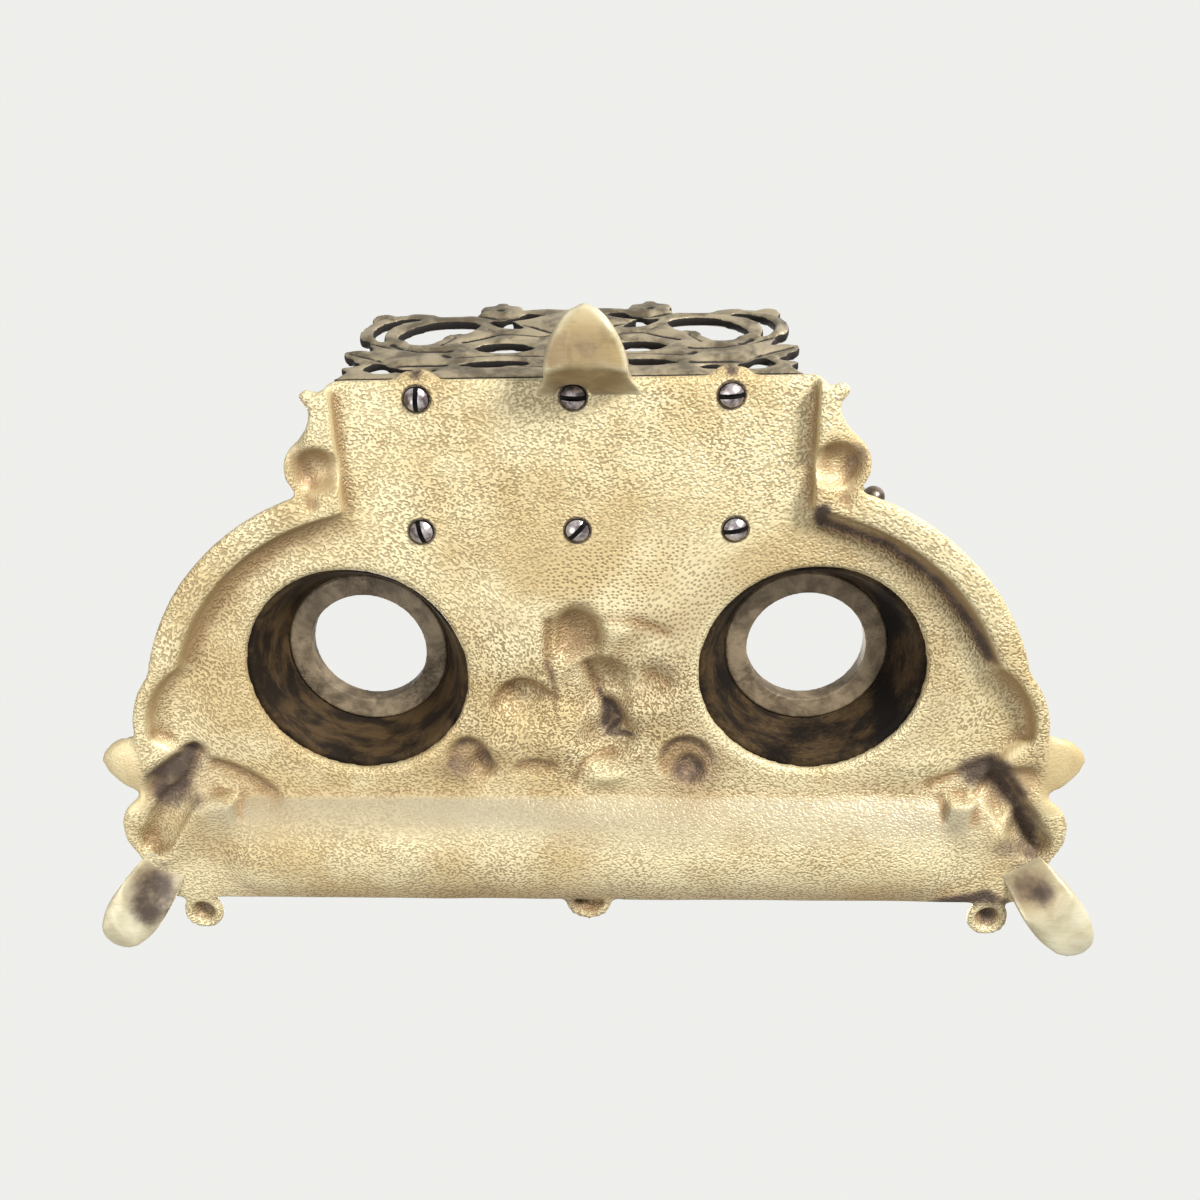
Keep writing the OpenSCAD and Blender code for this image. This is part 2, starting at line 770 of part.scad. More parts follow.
base_casting();
foot_rear();
foot_front(left);  // foot_front_left
foot_front(right);  // foot_front_right
well_pot(left);  // well_pot_left
well_pot(right);  // well_pot_right
well_collar(left);  // well_collar_left
well_collar(right);  // well_collar_right
hinge_lug(left);  // hinge_lug_left
hinge_lug(right);  // hinge_lug_right
hinge_pin(left);  // hinge_pin_left
hinge_pin(right);  // hinge_pin_right
lid(left);  // lid_left
lid(right);  // lid_right
lid_knob(left);  // lid_knob_left
lid_knob(right);  // lid_knob_right
rack_rear_panel();
rack_front_panel();
rear_panel_screws();
front_panel_screws();
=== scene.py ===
import math

import bmesh
import bpy
import numpy as np
from mathutils import Euler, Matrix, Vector, noise


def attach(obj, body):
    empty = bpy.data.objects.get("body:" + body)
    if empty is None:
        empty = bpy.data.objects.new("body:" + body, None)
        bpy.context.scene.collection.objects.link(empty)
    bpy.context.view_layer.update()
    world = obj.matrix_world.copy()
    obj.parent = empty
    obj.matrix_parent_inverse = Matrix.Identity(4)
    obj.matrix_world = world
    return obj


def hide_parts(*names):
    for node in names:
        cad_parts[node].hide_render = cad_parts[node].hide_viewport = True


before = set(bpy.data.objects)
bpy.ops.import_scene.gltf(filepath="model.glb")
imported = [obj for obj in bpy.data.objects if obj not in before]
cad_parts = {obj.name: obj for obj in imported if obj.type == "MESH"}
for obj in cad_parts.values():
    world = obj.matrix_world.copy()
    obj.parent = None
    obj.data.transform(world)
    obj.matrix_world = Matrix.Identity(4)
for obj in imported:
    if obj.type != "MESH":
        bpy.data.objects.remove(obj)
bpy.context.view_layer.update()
scene = bpy.context.scene
print("frame loaded")

# the line of the two well centres and the deck's underside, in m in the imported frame
wellLine = -0.006994
underside = 0.013

layout = {
    # in mm from the middle of the well line
    "wells": ((65.9, 0.0), (-65.9, 0.0)),
    "screwRows": ((41.0, 80.7), (42.8, 43.9)),
    # reaches in m, grain counts per metre and per radian
    "screwShadow": (0.0042, 0.0038),
    "ringReach": 0.062,
    "ringWave": 0.02,
    "deckGrain": (690, 830, 1400),
    "ringGrain": (820, 26, 1400),
}


def addNode(tree, kind, **settings):
    node = tree.nodes.new(kind)
    for name, value in settings.items():
        setattr(node, name, value)
    return node


def setInputs(node, **values):
    for name, value in values.items():
        node.inputs[name.replace("_", " ")].default_value = value


def mathNode(tree, operation, first, second=None, third=None):
    node = addNode(tree, "ShaderNodeMath", operation=operation)
    for index, value in enumerate((first, second, third)):
        if value is None:
            continue
        if isinstance(value, (int, float)):
            node.inputs[index].default_value = value
        else:
            tree.links.new(value, node.inputs[index])
    return node.outputs[0]


def mixColor(tree, factor, first, second):
    node = addNode(tree, "ShaderNodeMix", data_type="RGBA")
    for index, value in ((0, factor), (6, first), (7, second)):
        if isinstance(value, (int, float, tuple)):
            node.inputs[index].default_value = value if index == 0 else (*value, 1)
        else:
            tree.links.new(value, node.inputs[index])
    return node.outputs[2]


def spread(tree, value, low, high, toLow=0.0, toHigh=1.0):
    node = addNode(tree, "ShaderNodeMapRange", interpolation_type="SMOOTHSTEP")
    setInputs(node, From_Min=low, From_Max=high, To_Min=toLow, To_Max=toHigh)
    tree.links.new(value, node.inputs["Value"])
    return node.outputs["Result"]


def noiseNode(tree, vector, scale, detail=2.0, roughness=0.5, distortion=0.0):
    node = addNode(tree, "ShaderNodeTexNoise")
    setInputs(node, Scale=scale, Detail=detail, Roughness=roughness, Distortion=distortion)
    tree.links.new(vector, node.inputs["Vector"])
    return node.outputs["Fac"]


def newGroup(name, inputs, outputs):
    group = bpy.data.node_groups.new(name, "ShaderNodeTree")
    for label, kind, value in inputs:
        socket = group.interface.new_socket(label, in_out="INPUT", socket_type=kind)
        if value is not None:
            socket.default_value = value
    for label, kind in outputs:
        group.interface.new_socket(label, in_out="OUTPUT", socket_type=kind)
    return group, addNode(group, "NodeGroupInput"), addNode(group, "NodeGroupOutput")


floatSocket = "NodeSocketFloat"
colorSocket = "NodeSocketColor"
vectorSocket = "NodeSocketVector"


def makePebbleGroup():
    # close-set grains of a sand casting; Vector is in grain sizes, Dimples turns the grains into pits
    group, given, result = newGroup("castPebble", (
        ("Vector", vectorSocket, None), ("Dimples", floatSocket, 0.0)), (("Height", floatSocket),))
    place = given.outputs["Vector"]
    turned = addNode(group, "ShaderNodeVectorRotate", rotation_type="EULER_XYZ")
    turned.inputs["Rotation"].default_value = (0.5, 0.7, 0.4)
    group.links.new(place, turned.inputs["Vector"])
    grains = noiseNode(group, turned.outputs["Vector"], 1.75, 0.4, 0.3)
    cells = addNode(group, "ShaderNodeTexVoronoi", feature="F1", voronoi_dimensions="2D")
    setInputs(cells, Scale=1.05, Randomness=0.75)
    group.links.new(place, cells.inputs["Vector"])
    height = addNode(group, "ShaderNodeMix", data_type="FLOAT")
    group.links.new(given.outputs["Dimples"], height.inputs[0])
    group.links.new(spread(group, grains, 0.33, 0.6), height.inputs[2])
    group.links.new(spread(group, cells.outputs["Distance"], 0.12, 0.46), height.inputs[3])
    group.links.new(height.outputs[0], result.inputs["Height"])
    return group


def makeRingGroup():
    # within reach of a well, grains lie along its edge; elsewhere they lie across the deck
    group, given, result = newGroup("ringGrain", (
        ("Vector", vectorSocket, None), ("Well X", floatSocket, 0.0), ("Well Y", floatSocket, 0.0),
        ("Reach", floatSocket, 0.05), ("Straight", vectorSocket, None)), (("Grain", vectorSocket),))
    parts = addNode(group, "ShaderNodeSeparateXYZ")
    group.links.new(given.outputs["Vector"], parts.inputs[0])
    across = mathNode(group, "SUBTRACT", parts.outputs[0], given.outputs["Well X"])
    along = mathNode(group, "SUBTRACT", parts.outputs[1], given.outputs["Well Y"])
    far = mathNode(group, "SQRT", mathNode(group, "ADD",
        mathNode(group, "MULTIPLY", across, across), mathNode(group, "MULTIPLY", along, along)))
    joined = addNode(group, "ShaderNodeCombineXYZ")
    turn = mathNode(group, "ARCTAN2", along, across)
    for socket, value, count in zip(joined.inputs, (far, turn, parts.outputs[2]), layout["ringGrain"]):
        group.links.new(mathNode(group, "MULTIPLY", value, count), socket)
    wavy = mathNode(group, "MULTIPLY_ADD", noiseNode(group, given.outputs["Vector"], 90, 1),
        layout["ringWave"], far)
    pick = addNode(group, "ShaderNodeMix", data_type="VECTOR")
    group.links.new(mathNode(group, "LESS_THAN", wavy, given.outputs["Reach"]), pick.inputs[0])
    group.links.new(given.outputs["Straight"], pick.inputs[4])
    group.links.new(joined.outputs[0], pick.inputs[5])
    group.links.new(pick.outputs[1], result.inputs["Grain"])
    return group


def makeTarnishGroup():
    # metal that is darker in patches, with a dark crust where the grime-and-shade mask is high, so the
    # crust is partly painted shade in the hollows
    group, given, result = newGroup("tarnish", (
        ("Vector", vectorSocket, None), ("Light", colorSocket, None), ("Dark", colorSocket, None),
        ("Crust", colorSocket, None), ("Grime", floatSocket, 0.0), ("Grain", vectorSocket, None),
        ("Matte", floatSocket, 0.2)),
        (("Color", colorSocket), ("Roughness", floatSocket), ("Height", floatSocket)))
    place = given.outputs["Vector"]
    scaled = addNode(group, "ShaderNodeVectorMath", operation="MULTIPLY")
    group.links.new(place, scaled.inputs[0])
    group.links.new(given.outputs["Grain"], scaled.inputs[1])
    clouds = noiseNode(group, scaled.outputs[0], 1.0, 4, 0.6, 0.4)
    flecks = noiseNode(group, scaled.outputs[0], 7.0, 4, 0.65)
    patches = spread(group, clouds, 0.36, 0.64)
    base = mixColor(group, patches, given.outputs["Light"], given.outputs["Dark"])
    rough = mathNode(group, "MULTIPLY_ADD", flecks, 0.5, given.outputs["Grime"])
    crustAndShade = spread(group, rough, 0.55, 0.95)
    color = mixColor(group, crustAndShade, base, given.outputs["Crust"])
    group.links.new(color, result.inputs["Color"])
    group.links.new(mathNode(group, "MULTIPLY_ADD", crustAndShade, 0.35,
        mathNode(group, "MULTIPLY_ADD", flecks, 0.3, given.outputs["Matte"])), result.inputs["Roughness"])
    group.links.new(mathNode(group, "MULTIPLY_ADD", crustAndShade, 0.6,
        mathNode(group, "MULTIPLY", flecks, 0.6)), result.inputs["Height"])
    return group


pebbleGroup = makePebbleGroup()
ringGroup = makeRingGroup()
tarnishGroup = makeTarnishGroup()


def newMaterial(name, metallic, **fixed):
    material = bpy.data.materials.new(name)
    material.use_nodes = True
    tree = material.node_tree
    shader = tree.nodes["Principled BSDF"]
    shader.inputs["Metallic"].default_value = metallic
    for label, value in fixed.items():
        shader.inputs[label.replace("_", " ")].default_value = value
    place = addNode(tree, "ShaderNodeTexCoord").outputs["Object"]
    return material, tree, shader, place


def useGroup(tree, group, place, **values):
    node = addNode(tree, "ShaderNodeGroup", node_tree=group)
    tree.links.new(place, node.inputs["Vector"])
    for name, value in values.items():
        socket = node.inputs[name]
        if isinstance(value, tuple):
            socket.default_value = (*value, 1)
        elif isinstance(value, (int, float)):
            socket.default_value = value
        else:
            tree.links.new(value, socket)
    return node


def readMask(tree, name):
    return addNode(tree, "ShaderNodeAttribute", attribute_name=name).outputs["Fac"]


def linkBump(tree, shader, height, strength, distance):
    bump = addNode(tree, "ShaderNodeBump")
    setInputs(bump, Strength=strength, Distance=distance)
    tree.links.new(height, bump.inputs["Height"])
    tree.links.new(bump.outputs["Normal"], shader.inputs["Normal"])


def wornMetal(name, look):
    gloss = look.get("gloss", 0.5)
    material, tree, shader, place = newMaterial(name, look["metallic"], Specular_IOR_Level=gloss)
    # the grime-and-shade mask holds dirt and painted shade in the hollows
    amount = mathNode(tree, "ADD", readMask(tree, "grimeAndShade"), look["grimeAndShade"])
    worn = useGroup(tree, tarnishGroup, place, Light=look["light"], Dark=look["dark"], Crust=look["crustAndShade"],
        Grime=amount, Matte=look["matte"])
    worn.inputs["Grain"].default_value = look["grain"]
    tree.links.new(worn.outputs["Color"], shader.inputs["Base Color"])
    tree.links.new(worn.outputs["Roughness"], shader.inputs["Roughness"])
    linkBump(tree, shader, worn.outputs["Height"], 0.5, look["depth"])
    return material


metalLooks = {
    "dark_pot_bronze": {
        "light": (0.075, 0.046, 0.02), "dark": (0.014, 0.009, 0.005), "crustAndShade": (0.008, 0.006, 0.005),
        "metallic": 0.1, "grain": (90, 90, 260), "grimeAndShade": 0.1, "matte": 0.55, "depth": 0.0012,
        "gloss": 0.15},
    "collar_bronze": {
        "light": (0.25, 0.19, 0.115), "dark": (0.09, 0.062, 0.034), "crustAndShade": (0.02, 0.015, 0.011),
        "metallic": 0.1, "grain": (140, 140, 140), "grimeAndShade": 0.12, "matte": 0.45, "depth": 0.0007},
    "lid_bronze": {
        "light": (0.40, 0.32, 0.19), "dark": (0.22, 0.16, 0.085), "crustAndShade": (0.04, 0.03, 0.02),
        "metallic": 0.7, "grain": (60, 60, 60), "grimeAndShade": 0.12, "matte": 0.25, "depth": 0.0003},
    "knob_bronze": {
        "light": (0.20, 0.16, 0.12), "dark": (0.07, 0.05, 0.035), "crustAndShade": (0.015, 0.012, 0.01),
        "metallic": 0.8, "grain": (150, 150, 150), "grimeAndShade": 0.1, "matte": 0.2, "depth": 0.0002},
    "rack_bronze": {
        "light": (0.34, 0.28, 0.18), "dark": (0.10, 0.077, 0.044), "crustAndShade": (0.010, 0.007, 0.005),
        "metallic": 0.35, "grain": (110, 110, 110), "grimeAndShade": 0.08, "matte": 0.3, "depth": 0.0004},
    "screw_steel": {
        "light": (0.50, 0.45, 0.45), "dark": (0.10, 0.08, 0.08), "crustAndShade": (0.006, 0.005, 0.004),
        "metallic": 0.85, "grain": (330, 330, 330), "grimeAndShade": 0.05, "matte": 0.18, "depth": 0.0001},
}


# colours of the two brasses: cast brass of the base, filed brass of the feet, and the dirt and painted
# shade on both
brassColors = {
    "cream": (0.73, 0.63, 0.38), "ochre": (0.56, 0.43, 0.215), "pale": (0.37, 0.32, 0.215),
    "tan": (0.33, 0.22, 0.105), "grainGapShade": (0.20, 0.125, 0.045),
    "rubbed": (0.70, 0.65, 0.46), "dull": (0.52, 0.45, 0.27), "scratch": (0.25, 0.19, 0.10),
    "stain": (0.36, 0.265, 0.125), "oldStain": (0.23, 0.16, 0.07),
    "veilAndShade": (0.17, 0.11, 0.075), "sootAndShadow": (0.045, 0.03, 0.021),
}


def screwPlaces():
    return [(side * pitch, row) for pitch, row in layout["screwRows"] for side in (-1, 0, 1)]


def grainVector(tree, place):
    # grain coordinates: about 1.2 by 1.5 mm on the deck, bent round the wells
    sized = addNode(tree, "ShaderNodeVectorMath", operation="MULTIPLY")
    tree.links.new(place, sized.inputs[0])
    sized.inputs[1].default_value = layout["deckGrain"]
    grain = sized.outputs[0]
    for wellX, wellY in layout["wells"]:
        ring = useGroup(tree, ringGroup, place, Reach=layout["ringReach"], Straight=grain)
        ring.inputs["Well X"].default_value = wellX / 1000
        ring.inputs["Well Y"].default_value = wellY / 1000 + wellLine
        grain = ring.outputs["Grain"]
    return grain


def screwGapShadow(tree, place):
    # painted shadow: a dark ring in the gap round each screw head
    nearest = None
    for screwX, screwY in screwPlaces():
        far = addNode(tree, "ShaderNodeVectorMath", operation="DISTANCE")
        tree.links.new(place, far.inputs[0])
        far.inputs[1].default_value = (screwX / 1000, screwY / 1000 + wellLine, underside)
        gap = far.outputs["Value"]
        nearest = gap if nearest is None else mathNode(tree, "MINIMUM", nearest, gap)
    return spread(tree, nearest, *layout["screwShadow"])


def makeRawBrass():
    material, tree, shader, place = newMaterial("rawCastBrass", 0.25)
    grimeAndShade, tan, pale = readMask(tree, "grimeAndShade"), readMask(tree, "tan"), readMask(tree, "pale")
    height = useGroup(tree, pebbleGroup, grainVector(tree, place),
        Dimples=readMask(tree, "dimples")).outputs["Height"]
    keep = mathNode(tree, "SUBTRACT", 1.0, mathNode(tree, "MULTIPLY", readMask(tree, "smoothness"), 0.8))
    gap = mathNode(tree, "MULTIPLY", mathNode(tree, "SUBTRACT", 1.0, height), keep)
    clouds = noiseNode(tree, place, 30, 4, 0.55)
    cream = mixColor(tree, spread(tree, clouds, 0.4, 0.66), brassColors["cream"], brassColors["ochre"])
    cream = mixColor(tree, pale, cream, brassColors["pale"])
    cream = mixColor(tree, tan, cream, brassColors["tan"])
    # painted shade: the gaps between the grains are darkened in the colour
    strength = noiseNode(tree, place, 75, 2, 0.5)
    marks = mathNode(tree, "MULTIPLY", gap, spread(tree, strength, 0.3, 0.7, 0.4, 0.85))
    grainShaded = mixColor(tree, marks, cream, mixColor(tree, 0.82, cream, brassColors["grainGapShade"]))
    flecks = noiseNode(tree, place, 420, 4, 0.65)
    # dirt and painted shade from the mask: a brown veil and black soot, with a painted shadow round the
    # screws
    sootAndShadow = spread(tree, mathNode(tree, "MULTIPLY_ADD", flecks, 0.9, grimeAndShade), 0.62, 1.3)
    veilAndShade = mixColor(tree, spread(tree, grimeAndShade, 0.0, 0.8, 0.0, 0.85), grainShaded, brassColors["veilAndShade"])
    sootAndShadow = mathNode(tree, "MAXIMUM", sootAndShadow, screwGapShadow(tree, place))
    color = mixColor(tree, mathNode(tree, "MULTIPLY", sootAndShadow, 0.85), veilAndShade, brassColors["sootAndShadow"])
    tree.links.new(color, shader.inputs["Base Color"])
    roughness = mathNode(tree, "MULTIPLY_ADD", clouds, 0.25, 0.33)
    tree.links.new(mathNode(tree, "MULTIPLY_ADD", sootAndShadow, 0.3, roughness), shader.inputs["Roughness"])
    bumps = mathNode(tree, "MULTIPLY", height, keep)
    linkBump(tree, shader, mathNode(tree, "MULTIPLY_ADD", flecks, 0.3, bumps), 0.7, 0.0003)
    return material


def makeFootBrass():
    material, tree, shader, place = newMaterial("polishedFootBrass", 0.3)
    brushed = addNode(tree, "ShaderNodeMapping")
    brushed.inputs["Rotation"].default_value = (0, 0, 0.6)
    brushed.inputs["Scale"].default_value = (160, 1900, 900)
    tree.links.new(place, brushed.inputs["Vector"])
    streaks = noiseNode(tree, brushed.outputs["Vector"], 1.0, 3, 0.6)
    clouds = noiseNode(tree, place, 90, 4, 0.6, 0.6)
    grimeAndShade, tan = readMask(tree, "grimeAndShade"), readMask(tree, "tan")
    color = mixColor(tree, spread(tree, clouds, 0.35, 0.7), brassColors["rubbed"], brassColors["dull"])
    stained = mixColor(tree, spread(tree, clouds, 0.4, 0.62), brassColors["stain"], brassColors["oldStain"])
    color = mixColor(tree, tan, color, stained)
    color = mixColor(tree, spread(tree, streaks, 0.55, 0.75, 0.0, 0.3), color, brassColors["scratch"])
    flecks = noiseNode(tree, place, 420, 4, 0.65)
    # the grime-and-shade mask veils and blackens the colour: dirt, and painted shade in the hollows
    sootAndShadow = spread(tree, mathNode(tree, "MULTIPLY_ADD", flecks, 0.8, grimeAndShade), 0.62, 1.25, 0.0, 0.9)
    color = mixColor(tree, spread(tree, grimeAndShade, 0.0, 0.8, 0.0, 0.8), color, brassColors["veilAndShade"])
    color = mixColor(tree, sootAndShadow, color, brassColors["sootAndShadow"])
    tree.links.new(color, shader.inputs["Base Color"])
    tree.links.new(mathNode(tree, "MULTIPLY_ADD", streaks, 0.25, 0.3), shader.inputs["Roughness"])
    bumps = mathNode(tree, "ADD", streaks, mathNode(tree, "MULTIPLY", flecks, 0.6))
    linkBump(tree, shader, bumps, 0.35, 0.00025)
    return material


finishes = {name: wornMetal(name.replace("_", "-"), look) for name, look in metalLooks.items()}
finishes["raw_cast_brass"] = makeRawBrass()
finishes["polished_foot_brass"] = makeFootBrass()
print("materials made")


def bakeModifiers(piece):
    bpy.context.view_layer.update()
    shown = piece.evaluated_get(bpy.context.evaluated_depsgraph_get())
    mesh = bpy.data.meshes.new_from_object(shown)
    piece.modifiers.clear()
    worn = piece.data
    piece.data = mesh
    bpy.data.meshes.remove(worn)


def castCopy(nodeName, pieceName, slotName, body, voxel, passes):
    # a node's own shape with the soft edges of a casting
    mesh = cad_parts[nodeName].data.copy()
    work = bmesh.new()
    work.from_mesh(mesh)
    bmesh.ops.remove_doubles(work, verts=work.verts, dist=2e-6)
    work.to_mesh(mesh)
    work.free()
    mesh.materials.clear()
    piece = bpy.data.objects.new(pieceName, mesh)
    scene.collection.objects.link(piece)
    remesh = piece.modifiers.new("casting", "REMESH")
    remesh.mode = "VOXEL"
    remesh.voxel_size = voxel
    bakeModifiers(piece)
    piece.data.materials.append(finishes[slotName])
    piece.data.shade_smooth()
    relax(piece.data, passes)
    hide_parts(nodeName)
    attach(piece, body)
    return piece


def points(mesh):
    flat = np.empty(len(mesh.vertices) * 3, np.float32)
    mesh.vertices.foreach_get("co", flat)
    return flat.reshape(-1, 3).astype(float)


def setPoints(mesh, places):
    mesh.vertices.foreach_set("co", places.astype(np.float32).ravel())
    mesh.update()


def plan(places):
    # x, y and z in mm from the middle of the well line
    return places[:, 0] * 1000, (places[:, 1] - wellLine) * 1000, places[:, 2] * 1000


def facing(mesh):
    flat = np.empty(len(mesh.vertices) * 3, np.float32)
    mesh.vertices.foreach_get("normal", flat)
    return flat.reshape(-1, 3).astype(float)


def smoothed(mesh, places, passes, weight=0.5):
    # weight may be one number or one per point
    places = places.copy()
    pairs = np.empty(len(mesh.edges) * 2, np.int32)
    mesh.edges.foreach_get("vertices", pairs)
    first, second = pairs.reshape(-1, 2).T
    count = np.bincount(pairs, minlength=len(places)).astype(float)[:, None]
    share = np.asarray(weight, float)
    share = share[:, None] if share.ndim else share
    for _ in range(passes):
        total = np.zeros_like(places)
        for axis in range(3):
            total[:, axis] = (np.bincount(first, places[second, axis], len(places))
                + np.bincount(second, places[first, axis], len(places)))
        places += (total / np.maximum(count, 1) - places) * share
    return places


def relax(mesh, passes, weight=0.5):
    setPoints(mesh, smoothed(mesh, points(mesh), passes, weight))


def hollows(mesh, passes):
    # how far each point lies inside its smoothed neighbourhood, in mm; ridges are below 0
    places = points(mesh)
    return ((smoothed(mesh, places, passes) - places) * facing(mesh)).sum(axis=1) * 1000


def paint(mesh, name, values):
    layer = mesh.attributes.new(name, "FLOAT", "POINT")
    layer.data.foreach_set("value", values.astype(np.float32))


def smoothstep(values, low, high):
    t = np.clip((values - low) / (high - low), 0, 1)
    return t * t * (3 - 2 * t)


def ovalPlace(x, y, mark):
    # places inside an oval, in its own turned half widths: [x, y, half width, half height, turn]
    px, py, rx, ry, turn = mark
    c, s = math.cos(math.radians(turn)), math.sin(math.radians(turn))
    return ((x - px) * c + (y - py) * s) / rx, (-(x - px) * s + (y - py) * c) / ry


def ovalArea(x, y, area, inner):
    # 1 inside an upright oval, falling to 0 at its edge: [x, y, half width, half height]
    px, py, rx, ry = area
    return smoothstep(-np.hypot((x - px) / rx, (y - py) / ry), -1.0, -inner)


def spots(x, y, marks):
    # soft round or oval patches: [x, y, half width, half height, turn, strength] in mm
    total = np.zeros_like(x)
    for *oval, strength in marks:
        u, v = ovalPlace(x, y, oval)
        total += strength * np.exp(-(u * u + v * v))
    return total


def strokes(x, y, marks):
    # soft lines: [points, half width, strength] in mm
    total = np.zeros_like(x)
    for line, width, strength in marks:
        nearest = np.full_like(x, 1e9)
        for (ax, ay), (bx, by) in zip(line, line[1:]):
            dx, dy = bx - ax, by - ay
            t = np.clip(((x - ax) * dx + (y - ay) * dy) / (dx * dx + dy * dy), 0, 1)
            nearest = np.minimum(nearest, np.hypot(x - ax - t * dx, y - ay - t * dy))
        total = np.maximum(total, strength * np.exp(-(nearest / width) ** 2))
    return total


def bowls(x, y, marks):
    # hollows with a steep wall on one side, in mm:
    # [x, y, half width, half height, turn, depth, edge, open side in degrees]
    total = np.zeros_like(x)
    for *oval, depth, edge, aim in marks:
        u, v = ovalPlace(x, y, oval)
        inside = smoothstep(np.hypot(u, v), 1 + edge, 1 - edge)
        along = u * math.cos(math.radians(aim)) + v * math.sin(math.radians(aim))
        total = np.maximum(total, depth * inside * smoothstep(along, 0.9, -0.7))
    return total


def cloud(places, scale, seed):
    shift = Vector((seed * 7.31, seed * 3.17, seed * 5.03))
    return np.array([noise.noise(Vector(p) * scale + shift) for p in places])


# lines of the photo that are both sunk and stained; along the right cove the dark colour is also painted
# shade
coveRight = ((-67, 45), (-84, 39), (-99, 27.5), (-109, 15), (-115, 5))
archEdge = ((9.5, 16), (10, 3), (8, -9))
archBrow = ((-6, 17), (-14, 17), (-24, 13))

